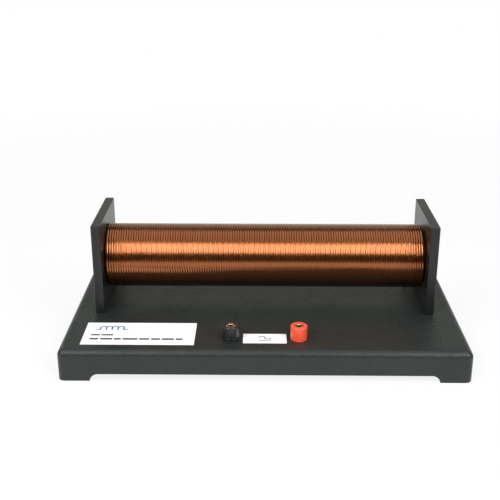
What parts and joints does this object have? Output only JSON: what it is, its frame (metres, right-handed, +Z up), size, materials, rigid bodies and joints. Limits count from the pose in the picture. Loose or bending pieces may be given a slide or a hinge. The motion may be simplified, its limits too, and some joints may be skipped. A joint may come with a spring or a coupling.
{
  "type": "magnetizing coil",
  "caption": "Horizontal coil of enamelled copper wire between square end plates on a moulded tray base, with screw terminals and an open bore for the bar that is magnetized or demagnetized.",
  "frame": {"origin": "middle of the footprint, on the surface that the base stands on", "axes": "+X along the coil, with the red terminal on the +X side; +Y from the terminals to the back; +Z up"},
  "size_m": [0.3, 0.155, 0.096],
  "materials": {
    "tray_plastic": "satin moulded grain",
    "plate_plastic": "satin",
    "former_tube": "pressed paper laminate",
    "copper_wire": "clear enamel over copper",
    "grommet_rubber": "matt",
    "label_film": "satin film",
    "black_plastic": "semi-gloss",
    "red_plastic": "semi-gloss",
    "nickel_brass": "nickel plate, turned",
    "brass": "turned",
    "zinc_steel": "zinc plate"
  },
  "bodies": {
    "root": {"base_tray": "tray_plastic", "left_end_plate": "plate_plastic", "right_end_plate": "plate_plastic", "plate_screws": "zinc_steel", "plate_washers": "zinc_steel", "coil_former": "former_tube", "inner_winding": "copper_wire", "outer_winding": "copper_wire", "left_lead": "copper_wire", "right_lead": "copper_wire", "lead_grommets": "grommet_rubber", "name_label": "label_film", "rating_label": "label_film", "black_stud": "nickel_brass", "black_collar": "black_plastic", "black_washer": "black_plastic", "black_solder_tag": "brass", "black_nut": "brass", "black_locknut": "brass", "red_stud": "nickel_brass", "red_collar": "red_plastic", "red_washer": "black_plastic", "red_solder_tag": "brass", "red_nut": "brass", "red_locknut": "brass"},
    "black_insert": {"black_cap_insert": "brass"},
    "black_cap": {"black_cap": "black_plastic"},
    "red_insert": {"red_cap_insert": "brass"},
    "red_cap": {"red_cap": "red_plastic"}
  },
  "joints": [
    {"name": "black_cap_lift", "type": "slide", "parent": "root", "child": "black_insert", "axis": [0, 0, 1], "range_m": [0, 0.00375]},
    {"name": "black_cap_turn", "type": "hinge", "parent": "black_insert", "child": "black_cap", "pos_m": [-0.025, -0.0555, 0.026], "axis": [0, 0, 1], "range_deg": [0, 1800]},
    {"name": "red_cap_lift", "type": "slide", "parent": "root", "child": "red_insert", "axis": [0, 0, 1], "range_m": [0, 0.00375]},
    {"name": "red_cap_turn", "type": "hinge", "parent": "red_insert", "child": "red_cap", "pos_m": [0.025, -0.0555, 0.026], "axis": [0, 0, 1], "range_deg": [0, 1800]}
  ],
  "couplings": [
    {"joint": "black_cap_turn", "follows": "black_cap_lift", "rad_per_m": 8377.6},
    {"joint": "red_cap_turn", "follows": "red_cap_lift", "rad_per_m": 8377.6}
  ]
}
